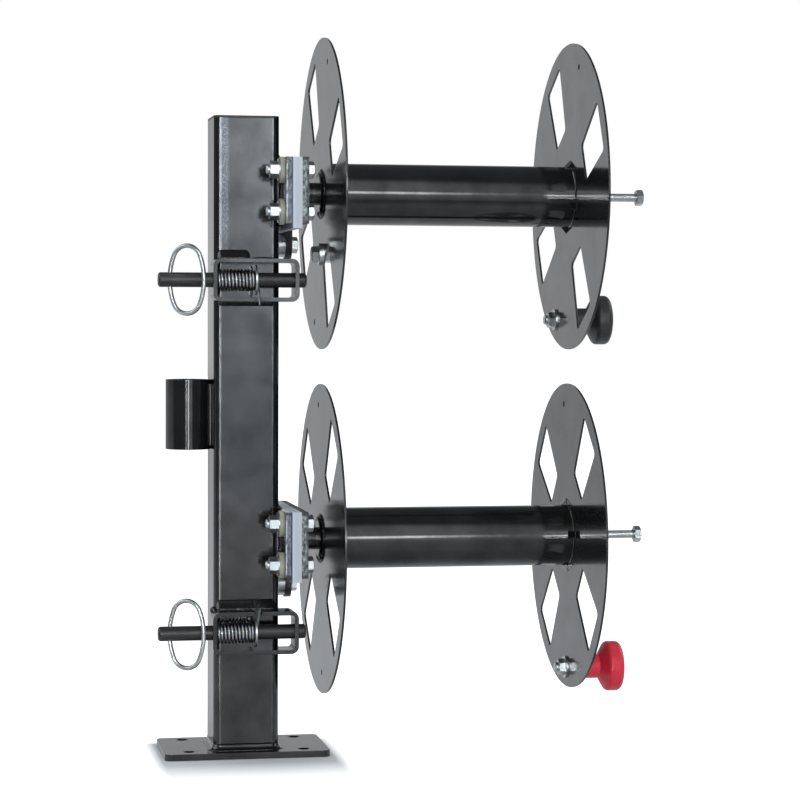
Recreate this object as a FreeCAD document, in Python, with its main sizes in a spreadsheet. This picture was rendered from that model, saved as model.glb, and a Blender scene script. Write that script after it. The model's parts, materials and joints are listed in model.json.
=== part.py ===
import FreeCAD, Part
import math
import os
import re
import Sketcher

# A pair of welding cable reels on one square mast with a bolt-down base plate.
# Millimetres. Origin: underside of the base plate, on the mast's centre line.
# +Z up the mast, +X out along the reel spindles, -Y towards the latches.
# Pieces of a reel are drawn about its own axis and then raised to its height and turned.

SIZES = {
    # base plate
    "base_wide": 161, "base_deep": 97, "base_thick": 6.35, "base_corner": 6,
    "base_hole_radius": 5.55, "base_hole_gap_x": 112, "base_hole_gap_y": 70,
    # mast: square tube with a plugged top
    "mast_side": 63.5, "mast_wall": 3.2, "mast_corner": 6.5, "mast_long": 612.65,
    "cap_thick": 2, "cap_plug_deep": 12, "cap_plug_wall": 2.5, "cap_clearance": 0.2,
    # receiver tube welded on the mast's left face
    "receiver_radius": 22, "receiver_wall": 3, "receiver_low": 298, "receiver_long": 68,
    # where the two reels sit and how far each is turned in the picture
    "upper_axis": 547.7, "lower_axis": 208.7, "upper_turn": 17.2, "lower_turn": -5.5,
    # insulated plate stack that carries a spindle
    "stack_wide": 152.4, "stack_tall": 63.5, "backing_thick": 6.35, "insulator_thick": 9.5,
    "insulator_drop": 4.25, "bearing_thick": 6.35, "bolt_hole_clearance": 0.3,
    "stack_bolt_inset_y": 16.2, "stack_bolt_inset_z": 11.75,
    # hexagon bolts and nuts of the stack, its terminal and the cable lug
    "bolt_radius": 4.75, "hex_across": 14.3, "head_thick": 6.85, "nut_thick": 8.2,
    "bolt_tip_out": 3, "bolt_point": 0.9, "washer_radius": 10.5, "washer_thick": 1.5,
    "soft_washer_radius": 12.5, "soft_washer_thick": 4.2, "sleeve_wall": 1.5,
    # terminal tab of the bearing plate
    "tab_inset": 26.2, "tab_wide": 28, "tab_drop": 49, "tab_washer_radius": 12.4, "tab_washer_thick": 3.2,
    # spindle and the hubs that run on it
    "spindle_root_radius": 11, "spindle_root_long": 19.75, "spindle_radius": 9.525,
    "spindle_inset": 9.8, "running_clearance": 0.05, "end_float": 0.3,
    "clip_wide": 2, "clip_radius": 13, "clip_groove_deep": 1.2, "clip_opening": 12,
    "hub_radius": 18, "hub_collar_long": 2.9, "hub_inside_long": 18, "outer_hub_long": 22,
    "hub_weld_radius": 24, "hub_weld_long": 2.4,
    # flanges and drum
    "flange_radius": 152.4, "flange_thick": 2, "drum_radius": 30.15, "drum_wall": 3,
    "drum_long": 248.6, "tack_reach": 7, "tack_long": 6, "tack_thick": 7, "tack_root": 0.5,
    "window_inner": 66.1, "window_inner_wide": 40, "window_outer_wide": 55, "window_corner": 4.5,
    "rim_wide": 16.4, "rim_hole_radius": 3, "rim_hole_inset": 20.4,
    # screw on the axis at the outer end
    "end_screw_radius": 4, "end_screw_long": 68, "end_screw_head": 6.5, "end_screw_across": 14.3,
    "end_nut_long": 6.5, "end_nut_root": 6.5, "end_nut_tip": 5.4,
    # crank knob: how far in from the rim, and how far round from the middle of its spoke
    "crank_inset": 19.4, "crank_turn": 5, "knob_radius": 25, "knob_head_thick": 15, "knob_neck_radius": 12,
    "knob_neck_long": 30.5, "knob_flare_long": 7.7, "knob_round": 5, "knob_recess_radius": 9.5,
    "knob_recess_deep": 8.5, "knob_tip_out": 12, "knob_washer_radius": 11, "knob_washer_thick": 2,
    "knob_nut_thick": 6.5,
    # cable lug bolt on the upper reel's inner flange
    "lug_place": 61, "lug_turn": 29.6, "lug_stack": 4.6, "lug_washer_radius": 11,
    # latch: bracket, plunger, spring, washer, cross pin, pull ring
    "latch_drop": 85.4, "bracket_left": 35.7, "bracket_wide": 83, "bracket_tall": 41.3,
    "bracket_wall": 4, "bracket_deep": 28.6, "bracket_corner": 7.5,
    "plunger_y": 49.3, "plunger_radius": 7.1, "plunger_left": 87.5, "plunger_long": 142.5,
    "plunger_chamfer": 1.6, "plunger_clearance": 0.08, "notch_wide": 6.3, "notch_past": 2,
    "cross_pin_radius": 1.15, "cross_pin_reach": 30.5, "cross_pin_lean": 38,
    "pin_hole_clearance": 0.03, "pin_gap": 0.1,
    "spring_radius": 9.5, "spring_wire": 1, "spring_turns": 9, "spring_long": 36.7, "spring_bend": 2.8,
    "latch_washer_radius": 14.5, "latch_washer_thick": 1.8, "latch_washer_clearance": 0.3,
    "ring_hole_left": 76.4, "ring_hole_radius": 2.9, "ring_wire": 2.2, "ring_half_tall": 32.3,
    "ring_half_wide": 17.5, "ring_end_radius": 14, "ring_turn": 27,
}

# Places along the spindle, each from the one before it
BACKING_X = "mast_side / 2"
INSULATOR_X = BACKING_X + " + backing_thick"
BEARING_X = INSULATOR_X + " + insulator_thick"
SPINDLE_X = BEARING_X + " + bearing_thick"
HUB_X = SPINDLE_X + " + spindle_root_long + end_float"
INNER_FLANGE_X = HUB_X + " + hub_collar_long"
DRUM_X = INNER_FLANGE_X + " + flange_thick"
OUTER_FLANGE_X = DRUM_X + " + drum_long"
OUTER_FACE_X = OUTER_FLANGE_X + " + flange_thick"
SPINDLE_TIP_X = OUTER_FLANGE_X + " - spindle_inset"
# Places across the plate stack, and from a reel's axis outwards
TAB_Y = "(stack_wide / 2 - tab_inset)"
WINDOW_OUTER = "(flange_radius - rim_wide)"
RIM_HOLE_PLACE = "(flange_radius - rim_hole_inset)"
CRANK_Y = "(flange_radius - crank_inset) * sin(crank_turn)"
CRANK_Z = "-(flange_radius - crank_inset) * cos(crank_turn)"
# Places along a latch
SPRING_X = "bracket_wall - bracket_left"
LATCH_WASHER_X = SPRING_X + " + spring_long"
CROSS_PIN_X = LATCH_WASHER_X + " + latch_washer_thick + pin_gap + cross_pin_radius"

os.makedirs("parts", exist_ok=True)
doc = FreeCAD.newDocument("cable_reels")
sheet = doc.addObject("Spreadsheet::Sheet", "sizes")
for row, (alias, size) in enumerate(SIZES.items(), start=1):
    sheet.set("A%d" % row, alias)
    sheet.set("B%d" % row, str(size))
    sheet.setAlias("B%d" % row, alias)
doc.recompute()

finished = []


def bind(item, prop, formula):
    """Tie a property to a formula written with the sheet's names."""
    def with_sheet(match):
        word = match.group()
        return "sizes." + word if word in SIZES else word
    item.setExpression(prop, re.sub(r"[a-z_]+", with_sheet, formula))


def size(alias):
    return float(getattr(sheet, alias))


def keep(item, label, height="0", turn="0"):
    """Name a finished piece, raise it to its height and turn it about the X direction."""
    item.Label = label
    item.Placement = FreeCAD.Placement(FreeCAD.Vector(), FreeCAD.Rotation(FreeCAD.Vector(1, 0, 0), 1))
    bind(item, "Placement.Base.z", height)
    bind(item, "Placement.Rotation.Angle", turn)
    finished.append(item)


def new_body(name):
    return doc.addObject("PartDesign::Body", name + "_body")


def plane_sketch(body, role, out="0", right="0", up="0"):
    """A sketch on one of the body's own planes, moved out along the plane's normal."""
    sketch = body.newObject("Sketcher::SketchObject", body.Name + "_sketch")
    plane = [feature for feature in body.Origin.OriginFeatures if feature.Role == role][0]
    sketch.AttachmentSupport = [(plane, "")]
    sketch.MapMode = "FlatFace"
    bind(sketch, "AttachmentOffset.Base.x", right)
    bind(sketch, "AttachmentOffset.Base.y", up)
    bind(sketch, "AttachmentOffset.Base.z", out)
    return sketch


def pin_point(sketch, edge, point, right, up):
    """Fix a point of the sketch at its distances from the sketch's origin."""
    for kind, formula in (("DistanceX", right), ("DistanceY", up)):
        number = sketch.addConstraint(Sketcher.Constraint(kind, -1, 1, edge, point, 1.0))
        bind(sketch, "Constraints[%d]" % number, formula)


def add_circle(sketch, radius, right="0", up="0"):
    circle = Part.Circle(FreeCAD.Vector(1, 1, 0), FreeCAD.Vector(0, 0, 1), 1)
    edge = sketch.addGeometry(circle, False)
    pin_point(sketch, edge, 3, right, up)
    number = sketch.addConstraint(Sketcher.Constraint("Radius", edge, 1.0))
    bind(sketch, "Constraints[%d]" % number, radius)


def add_outline(sketch, corners):
    """A closed outline through corners given as pairs of formulas."""
    first = sketch.GeometryCount
    count = len(corners)
    start = [FreeCAD.Vector(math.cos(2 * math.pi * n / count), math.sin(2 * math.pi * n / count), 0)
             for n in range(count)]
    for n in range(count):
        sketch.addGeometry(Part.LineSegment(start[n], start[(n + 1) % count]), False)
    for n in range(count):
        following = first + (n + 1) % count
        sketch.addConstraint(Sketcher.Constraint("Coincident", first + n, 2, following, 1))
    for n, (right, up) in enumerate(corners):
        pin_point(sketch, first + n, 1, right, up)


def add_rectangle(sketch, left, right, low, high):
    add_outline(sketch, [(left, low), (right, low), (right, high), (left, high)])


def new_feature(body, kind, sketch):
    feature = body.newObject("PartDesign::" + kind, body.Name + "_" + kind.lower())
    feature.Profile = sketch
    return feature


def pad(body, sketch, length, both_ways=False):
    feature = new_feature(body, "Pad", sketch)
    if both_ways:
        feature.SideType = "Symmetric"
    bind(feature, "Length", length)
    body.Tip = feature
    doc.recompute()
    return feature


def cut(body, feature):
    """Recompute a cutting feature and make sure that it takes something away."""
    before = feature.BaseFeature.Shape.Volume
    body.Tip = feature
    doc.recompute()
    if feature.Shape.Volume > before - 1e-3:
        raise RuntimeError(feature.Name + " cuts nothing")
    return feature


def pocket(body, sketch, length, along_normal=False):
    feature = new_feature(body, "Pocket", sketch)
    feature.Reversed = along_normal
    bind(feature, "Length", length)
    return cut(body, feature)


def pocket_both_ways(body, sketch):
    feature = new_feature(body, "Pocket", sketch)
    feature.Type = "ThroughAll"
    feature.SideType = "Symmetric"
    return cut(body, feature)


def revolve(body, sketch):
    """Turn a profile about its sketch's horizontal axis."""
    feature = new_feature(body, "Revolution", sketch)
    feature.ReferenceAxis = (sketch, ["H_Axis"])
    feature.Angle = 360
    body.Tip = feature
    doc.recompute()
    return feature


def repeat_round_x(body, feature, count):
    """Repeat a feature evenly about the body's X axis."""
    pattern = body.newObject("PartDesign::PolarPattern", body.Name + "_pattern")
    pattern.Originals = [feature]
    axis = [line for line in body.Origin.OriginFeatures if line.Role == "X_Axis"][0]
    pattern.Axis = (axis, [""])
    pattern.Angle = 360
    pattern.Occurrences = count
    body.Tip = pattern
    doc.recompute()
    return pattern


def corner_edges(shape, direction, wanted=None):
    """Names of the straight edges along a direction between two flat faces."""
    names = []
    for number, edge in enumerate(shape.Edges, start=1):
        if edge.Curve.TypeId != "Part::GeomLine":
            continue
        if abs(edge.tangentAt(edge.FirstParameter).dot(direction)) < 0.999:
            continue
        beside = shape.ancestorsOfType(edge, Part.Face)
        if any(face.Surface.TypeId != "Part::GeomPlane" for face in beside):
            continue
        if wanted is None or wanted(edge.CenterOfMass):
            names.append("Edge%d" % number)
    return names


def ring_edges(shape, wanted):
    """Names of the full circles that a test on centre and radius picks out."""
    return ["Edge%d" % number for number, edge in enumerate(shape.Edges, start=1)
            if edge.Curve.TypeId == "Part::GeomCircle" and wanted(edge.Curve.Center, edge.Curve.Radius)]


def dress(body, kind, names, prop, amount):
    """Fillet or chamfer the named edges of the body's last feature."""
    last = body.Tip
    feature = body.newObject("PartDesign::" + kind, body.Name + "_" + kind.lower())
    feature.Base = (last, names)
    bind(feature, prop, amount)
    body.Tip = feature
    doc.recompute()
    return feature


ALONG_X = FreeCAD.Vector(1, 0, 0)
ALONG_Y = FreeCAD.Vector(0, 1, 0)
ALONG_Z = FreeCAD.Vector(0, 0, 1)


def solid_along_x(kind, place, **formulas):
    """A primitive whose own axis points along X from a place given as three formulas."""
    item = doc.addObject("Part::" + kind, kind.lower())
    item.Placement = FreeCAD.Placement(FreeCAD.Vector(), FreeCAD.Rotation(ALONG_Y, 90))
    for letter, formula in zip("xyz", place):
        bind(item, "Placement.Base." + letter, formula)
    for prop, formula in formulas.items():
        bind(item, prop, formula)
    return item


def rod_x(place, radius, length):
    return solid_along_x("Cylinder", place, Radius=radius, Height=length)


def cone_x(place, radius_start, radius_end, length):
    return solid_along_x("Cone", place, Radius1=radius_start, Radius2=radius_end, Height=length)


def joined(items):
    fusion = doc.addObject("Part::MultiFuse", "joined")
    fusion.Shapes = items
    return fusion


def drilled(base, tool):
    result = doc.addObject("Part::Cut", "drilled")
    result.Base = base
    result.Tool = tool
    return result


def grouped(items):
    group = doc.addObject("Part::Compound", "grouped")
    group.Links = items
    return group


# radius of a hexagon's flat round end face, as a share of its width across the flats
HEX_FACE_SHARE = "0.475"


def hexagon(place, across, thick, chamfer_at_end):
    """A hexagonal block along X, its corners chamfered at one end as on a bolt head."""
    block = doc.addObject("Part::Common", "hexagon")
    prism = solid_along_x("Prism", place, Circumradius="(%s) / sqrt(3)" % across, Height=thick)
    prism.Polygon = 6
    face_radius = "%s * (%s)" % (HEX_FACE_SHARE, across)
    wide_radius = face_radius + " + sqrt(3) * (%s)" % thick
    if chamfer_at_end:
        block.Tool = cone_x(place, wide_radius, face_radius, thick)
    else:
        block.Tool = cone_x(place, face_radius, wide_radius, thick)
    block.Base = prism
    return block


def ring_x(place, radius, bore, length):
    return drilled(rod_x(place, radius, length), rod_x(place, bore, length))


def hex_nut(place, across, thick, bore, chamfer_at_end):
    return drilled(hexagon(place, across, thick, chamfer_at_end), rod_x(place, bore, thick))


def shifted(place, distance):
    return ("%s + (%s)" % (place[0], distance), place[1], place[2])


def hex_bolt(head_place, tip, radius, across, head_thick, head_first):
    """A hexagon bolt along X. Its head starts at head_place, its point ends at the X of tip."""
    parts = [hexagon(head_place, across, head_thick, not head_first)]
    under_head = shifted(head_place, head_thick) if head_first else head_place
    if head_first:
        shank_long = "%s - (%s) - bolt_point" % (tip, under_head[0])
        parts.append(rod_x(under_head, radius, shank_long))
        point_place = (tip + " - bolt_point", head_place[1], head_place[2])
        parts.append(cone_x(point_place, radius, radius + " - bolt_point", "bolt_point"))
    else:
        shank_long = "%s - (%s) - bolt_point" % (under_head[0], tip)
        start = (tip + " + bolt_point", head_place[1], head_place[2])
        parts.append(rod_x(start, radius, shank_long))
        point_place = (tip, head_place[1], head_place[2])
        parts.append(cone_x(point_place, radius + " - bolt_point", radius, "bolt_point"))
    return joined(parts)


def make_base_plate():
    body = new_body("base_plate")
    sketch = plane_sketch(body, "XY_Plane")
    add_rectangle(sketch, "-base_wide / 2", "base_wide / 2", "-base_deep / 2", "base_deep / 2")
    pad(body, sketch, "base_thick")
    dress(body, "Fillet", corner_edges(body.Shape, ALONG_Z), "Radius", "base_corner")
    holes = plane_sketch(body, "XY_Plane", out="base_thick")
    for side_x in ("-base_hole_gap_x / 2", "base_hole_gap_x / 2"):
        for side_y in ("-base_hole_gap_y / 2", "base_hole_gap_y / 2"):
            add_circle(holes, "base_hole_radius", side_x, side_y)
    pocket(body, holes, "base_thick")
    keep(body, "base_plate")


def make_mast():
    body = new_body("mast")
    sketch = plane_sketch(body, "XY_Plane", out="base_thick")
    add_rectangle(sketch, "-mast_side / 2", "mast_side / 2", "-mast_side / 2", "mast_side / 2")
    pad(body, sketch, "mast_long")
    dress(body, "Fillet", corner_edges(body.Shape, ALONG_Z), "Radius", "mast_corner")
    bore = plane_sketch(body, "XY_Plane", out="base_thick + mast_long")
    inside = "mast_side / 2 - mast_wall"
    add_rectangle(bore, "-(%s)" % inside, inside, "-(%s)" % inside, inside)
    pocket(body, bore, "mast_long")
    dress(body, "Fillet", corner_edges(body.Shape, ALONG_Z), "Radius", "mast_corner - mast_wall")
    keep(body, "mast")


def make_mast_cap():
    body = new_body("mast_cap")
    top = "base_thick + mast_long"
    sketch = plane_sketch(body, "XY_Plane", out=top)
    add_rectangle(sketch, "-mast_side / 2", "mast_side / 2", "-mast_side / 2", "mast_side / 2")
    pad(body, sketch, "cap_thick")
    dress(body, "Fillet", corner_edges(body.Shape, ALONG_Z), "Radius", "mast_corner")
    plug = plane_sketch(body, "XY_Plane", out=top + " - cap_plug_deep")
    outside = "mast_side / 2 - mast_wall - cap_clearance"
    add_rectangle(plug, "-(%s)" % outside, outside, "-(%s)" % outside, outside)
    pad(body, plug, "cap_plug_deep")

    def on_plug(middle):
        return middle.z < size("base_thick") + size("mast_long")
    edges = corner_edges(body.Shape, ALONG_Z, on_plug)
    dress(body, "Fillet", edges, "Radius", "mast_corner - mast_wall")
    hollow = plane_sketch(body, "XY_Plane", out=top + " - cap_plug_deep")
    within = outside + " - cap_plug_wall"
    add_rectangle(hollow, "-(%s)" % within, within, "-(%s)" % within, within)
    pocket(body, hollow, "cap_plug_deep", along_normal=True)
    keep(body, "mast_cap")


def make_receiver_tube():
    place = ("-mast_side / 2 - receiver_radius", "0", "receiver_low")
    outside = doc.addObject("Part::Cylinder", "receiver_outside")
    inside = doc.addObject("Part::Cylinder", "receiver_inside")
    for item, radius in ((outside, "receiver_radius"), (inside, "receiver_radius - receiver_wall")):
        bind(item, "Radius", radius)
        bind(item, "Height", "receiver_long")
        for letter, formula in zip("xyz", place):
            bind(item, "Placement.Base." + letter, formula)
    keep(drilled(outside, inside), "receiver_tube")


STACK_BOLT_PLACES = [(sign_y + "(stack_wide / 2 - stack_bolt_inset_y)",
                      sign_z + "(stack_tall / 2 - stack_bolt_inset_z)")
                     for sign_y in ("-", "") for sign_z in ("-", "")]


def stack_plate(label, start, thick, low, hole_radius):
    """One plate of the stack, square to the spindle, with its four bolt holes."""
    body = new_body(label)
    sketch = plane_sketch(body, "YZ_Plane", out=start)
    add_rectangle(sketch, "-stack_wide / 2", "stack_wide / 2", low, "stack_tall / 2")
    pad(body, sketch, thick)
    holes = plane_sketch(body, "YZ_Plane", out=start)
    for side_y, side_z in STACK_BOLT_PLACES:
        add_circle(holes, hole_radius, side_y, side_z)
    pocket(body, holes, thick, along_normal=True)
    return body


def make_plate_stack(name, height):
    loose = "bolt_radius + bolt_hole_clearance"
    sleeve = loose + " + sleeve_wall"
    low = "-stack_tall / 2"
    backing = stack_plate(name + "_backing_plate", BACKING_X, "backing_thick", low,
                          sleeve + " + running_clearance")
    keep(backing, name + "_backing_plate", height)
    insulator = stack_plate(name + "_insulator_plate", INSULATOR_X, "insulator_thick",
                            low + " - insulator_drop", loose)
    keep(insulator, name + "_insulator_plate", height)
    bearing = stack_plate(name + "_bearing_plate", BEARING_X, "bearing_thick", low, loose)
    tab = plane_sketch(bearing, "YZ_Plane", out=BEARING_X)
    add_rectangle(tab, TAB_Y + " - tab_wide / 2", TAB_Y + " + tab_wide / 2", "-tab_drop", low)
    pad(bearing, tab, "bearing_thick")
    tab_end = plane_sketch(bearing, "YZ_Plane", out=BEARING_X)
    add_circle(tab_end, "tab_wide / 2", TAB_Y, "-tab_drop")
    pad(bearing, tab_end, "bearing_thick")
    tab_hole = plane_sketch(bearing, "YZ_Plane", out=BEARING_X)
    add_circle(tab_hole, loose, TAB_Y, "-tab_drop")
    pocket(bearing, tab_hole, "bearing_thick", along_normal=True)
    keep(bearing, name + "_bearing_plate", height)


def make_stack_fasteners(name, height):
    bolts = []
    nuts = []
    washers = []
    soft_washers = []
    soft_face = BACKING_X + " - soft_washer_thick"
    washer_face = soft_face + " - washer_thick"
    nut_face = washer_face + " - nut_thick"
    loose = "bolt_radius + bolt_hole_clearance"
    for side_y, side_z in STACK_BOLT_PLACES:
        bolts.append(hex_bolt((SPINDLE_X, side_y, side_z), nut_face + " - bolt_tip_out",
                              "bolt_radius", "hex_across", "head_thick", head_first=False))
        nuts.append(hex_nut((nut_face, side_y, side_z), "hex_across", "nut_thick",
                            "bolt_radius", chamfer_at_end=False))
        washers.append(ring_x((washer_face, side_y, side_z), "washer_radius", loose, "washer_thick"))
        flat = rod_x((soft_face, side_y, side_z), "soft_washer_radius", "soft_washer_thick")
        sleeve = rod_x((BACKING_X, side_y, side_z), loose + " + sleeve_wall", "backing_thick")
        bore = rod_x((soft_face, side_y, side_z), loose, "soft_washer_thick + backing_thick")
        soft_washers.append(drilled(joined([flat, sleeve]), bore))
    keep(grouped(bolts), name + "_plate_bolts", height)
    keep(grouped(nuts), name + "_plate_nuts", height)
    keep(grouped(washers), name + "_plate_washers", height)
    keep(grouped(soft_washers), name + "_insulating_washers", height)


def make_terminal(name, height):
    loose = "bolt_radius + bolt_hole_clearance"
    washers_face = BEARING_X + " - 2 * tab_washer_thick"
    nut_face = washers_face + " - nut_thick"
    bolt = hex_bolt((SPINDLE_X, TAB_Y, "-tab_drop"), nut_face + " - bolt_tip_out",
                    "bolt_radius", "hex_across", "head_thick", head_first=False)
    keep(bolt, name + "_terminal_bolt", height)
    stacked = [hex_nut((nut_face, TAB_Y, "-tab_drop"), "hex_across", "nut_thick",
                       "bolt_radius", chamfer_at_end=False)]
    for number in range(2):
        face = washers_face + " + %d * tab_washer_thick" % number
        stacked.append(ring_x((face, TAB_Y, "-tab_drop"), "tab_washer_radius", loose,
                              "tab_washer_thick"))
    keep(grouped(stacked), name + "_terminal_nut", height)


def make_spindle(name, height):
    body = new_body(name + "_spindle")
    profile = plane_sketch(body, "XZ_Plane")
    root_end = SPINDLE_X + " + spindle_root_long"
    tip = SPINDLE_TIP_X
    groove = HUB_X + " + hub_collar_long + hub_inside_long + end_float"
    groove_end = groove + " + clip_wide"
    groove_radius = "spindle_radius - clip_groove_deep"
    add_outline(profile, [
        (SPINDLE_X, "0"), (SPINDLE_X, "spindle_root_radius"), (root_end, "spindle_root_radius"),
        (root_end, "spindle_radius"), (groove, "spindle_radius"), (groove, groove_radius),
        (groove_end, groove_radius), (groove_end, "spindle_radius"),
        (tip + " - bolt_point", "spindle_radius"), (tip, "spindle_radius - bolt_point"), (tip, "0")])
    revolve(body, profile)
    keep(body, name + "_spindle", height)
    # open ring in the spindle's groove: it holds the reel on
    clip = new_body(name + "_spindle_clip")
    outline = plane_sketch(clip, "YZ_Plane", out=groove)
    add_circle(outline, "clip_radius")
    add_circle(outline, groove_radius)
    pad(clip, outline, "clip_wide")
    opening = plane_sketch(clip, "YZ_Plane", out=groove)
    add_rectangle(opening, "-clip_opening / 2", "clip_opening / 2", "0", "clip_radius + 1")
    pocket(clip, opening, "clip_wide", along_normal=True)
    keep(clip, name + "_spindle_clip", height)


def add_tacks(body, flange_x, toward_x):
    """Four three-cornered weld tacks in the angle between the drum and a flange."""
    tack = plane_sketch(body, "XZ_Plane")
    root = "drum_radius - tack_root"
    far_x = "%s %s tack_long" % (flange_x, toward_x)
    add_outline(tack, [(flange_x, root), (far_x, root), (far_x, "drum_radius"),
                       (flange_x, "drum_radius + tack_reach")])
    repeat_round_x(body, pad(body, tack, "tack_thick", both_ways=True), 4)


def make_hubs(name, height, turn):
    bore = "spindle_radius + running_clearance"
    inner = new_body(name + "_inner_hub")
    inside_end = INNER_FLANGE_X + " + hub_inside_long"
    profile = plane_sketch(inner, "XZ_Plane")
    # the sloping step outside the flange is the hub's all-round weld
    add_outline(profile, [
        (HUB_X, bore), (HUB_X, "hub_radius"), (INNER_FLANGE_X + " - hub_weld_long", "hub_radius"),
        (INNER_FLANGE_X, "hub_weld_radius"), (INNER_FLANGE_X, "hub_radius"),
        (inside_end, "hub_radius"), (inside_end, bore)])
    revolve(inner, profile)
    keep(inner, name + "_inner_hub", height, turn)
    outer = new_body(name + "_outer_hub")
    start = OUTER_FLANGE_X + " - outer_hub_long"
    outline = plane_sketch(outer, "YZ_Plane", out=start)
    add_circle(outline, "hub_radius")
    add_circle(outline, bore)
    pad(outer, outline, "outer_hub_long")
    keep(outer, name + "_outer_hub", height, turn)


def make_flange(label, height, turn, start, middle_radius, has_crank, has_lug):
    """A round flange with four straight-sided windows between its spokes."""
    body = new_body(label)
    disc = plane_sketch(body, "YZ_Plane", out=start)
    add_circle(disc, "flange_radius")
    pad(body, disc, "flange_thick")
    window = plane_sketch(body, "YZ_Plane", out=start)
    diagonal = []
    for along, across in (("window_inner", "window_inner_wide / 2"), (WINDOW_OUTER, "window_outer_wide / 2"),
                          (WINDOW_OUTER, "-window_outer_wide / 2"), ("window_inner", "-window_inner_wide / 2")):
        diagonal.append(("(%s - %s) / sqrt(2)" % (along, across), "(%s + %s) / sqrt(2)" % (along, across)))
    add_outline(window, diagonal)
    repeat_round_x(body, pocket(body, window, "flange_thick", along_normal=True), 4)
    dress(body, "Fillet", corner_edges(body.Shape, ALONG_X), "Radius", "window_corner")
    holes = plane_sketch(body, "YZ_Plane", out=start)
    add_circle(holes, middle_radius)
    add_circle(holes, "rim_hole_radius", "0", RIM_HOLE_PLACE)
    if has_crank:
        add_circle(holes, "bolt_radius + bolt_hole_clearance", CRANK_Y, CRANK_Z)
    else:
        add_circle(holes, "rim_hole_radius", "0", "-" + RIM_HOLE_PLACE)
    if has_lug:
        add_circle(holes, "bolt_radius + bolt_hole_clearance", "-lug_place * sin(lug_turn)",
                   "-lug_place * cos(lug_turn)")
    pocket(body, holes, "flange_thick", along_normal=True)
    keep(body, label, height, turn)


def make_drum(name, height, turn):
    body = new_body(name + "_drum")
    tube = plane_sketch(body, "YZ_Plane", out=DRUM_X)
    add_circle(tube, "drum_radius")
    pad(body, tube, "drum_long")
    add_tacks(body, DRUM_X, "+")
    add_tacks(body, OUTER_FLANGE_X, "-")
    bore = plane_sketch(body, "YZ_Plane", out=DRUM_X)
    add_circle(bore, "drum_radius - drum_wall")
    pocket(body, bore, "drum_long", along_normal=True)
    keep(body, name + "_drum", height, turn)


def make_end_screw(name, height, turn):
    head_x = OUTER_FACE_X + " + end_screw_long"
    tip = SPINDLE_TIP_X + " + end_float"
    screw = hex_bolt((head_x, "0", "0"), tip, "end_screw_radius", "end_screw_across",
                     "end_screw_head", head_first=False)
    keep(screw, name + "_end_screw", height, turn)
    cone = cone_x((OUTER_FACE_X, "0", "0"), "end_nut_root", "end_nut_tip", "end_nut_long")
    bore = rod_x((OUTER_FACE_X, "0", "0"), "end_screw_radius", "end_nut_long")
    keep(drilled(cone, bore), name + "_end_nut", height, turn)


def make_crank(name, height, turn):
    start = OUTER_FACE_X + " + end_float"
    neck_end = start + " + knob_neck_long"
    flare_end = neck_end + " + knob_flare_long"
    face = flare_end + " + knob_head_thick"
    floor = face + " - knob_recess_deep"
    bore = "bolt_radius + running_clearance"
    knob = new_body(name + "_crank_knob")
    profile = plane_sketch(knob, "XZ_Plane", out="-" + CRANK_Y, up=CRANK_Z)
    add_outline(profile, [
        (start, bore), (start, "knob_neck_radius"), (neck_end, "knob_neck_radius"),
        (flare_end, "knob_radius"), (face, "knob_radius"), (face, "knob_recess_radius"),
        (floor, "knob_recess_radius"), (floor, bore)])
    revolve(knob, profile)
    rounded = ring_edges(knob.Shape, lambda middle, radius: abs(radius - size("knob_radius")) < 1e-6)
    dress(knob, "Fillet", rounded, "Radius", "knob_round")
    keep(knob, name + "_crank_knob", height, turn)
    washer_x = OUTER_FLANGE_X + " - knob_washer_thick"
    nut_x = washer_x + " - knob_nut_thick"
    bolt = hex_bolt((floor + " + end_float", CRANK_Y, CRANK_Z), OUTER_FLANGE_X + " - knob_tip_out",
                    "bolt_radius", "hex_across", "head_thick", head_first=False)
    keep(bolt, name + "_knob_bolt", height, turn)
    nut = hex_nut((nut_x, CRANK_Y, CRANK_Z), "hex_across", "knob_nut_thick", "bolt_radius",
                  chamfer_at_end=False)
    washer = ring_x((washer_x, CRANK_Y, CRANK_Z), "knob_washer_radius",
                    "bolt_radius + bolt_hole_clearance", "knob_washer_thick")
    keep(grouped([nut, washer]), name + "_knob_nut", height, turn)


def make_lug_bolt(name, height, turn):
    """The cable's lug clamps under this bolt on the inner flange."""
    side = "-lug_place * sin(lug_turn)"
    down = "-lug_place * cos(lug_turn)"
    loose = "bolt_radius + bolt_hole_clearance"
    washer_x = INNER_FLANGE_X + " - lug_stack"
    head_x = washer_x + " - head_thick"
    tip = DRUM_X + " + nut_thick + bolt_tip_out"
    bolt = hex_bolt((head_x, side, down), tip, "bolt_radius", "hex_across", "head_thick", head_first=True)
    washer = ring_x((washer_x, side, down), "lug_washer_radius", loose, "lug_stack")
    keep(grouped([bolt, washer]), name + "_cable_lug_bolt", height, turn)
    nut = hex_nut((DRUM_X, side, down), "hex_across", "nut_thick", "bolt_radius", chamfer_at_end=True)
    keep(nut, name + "_cable_lug_nut", height, turn)


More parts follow.
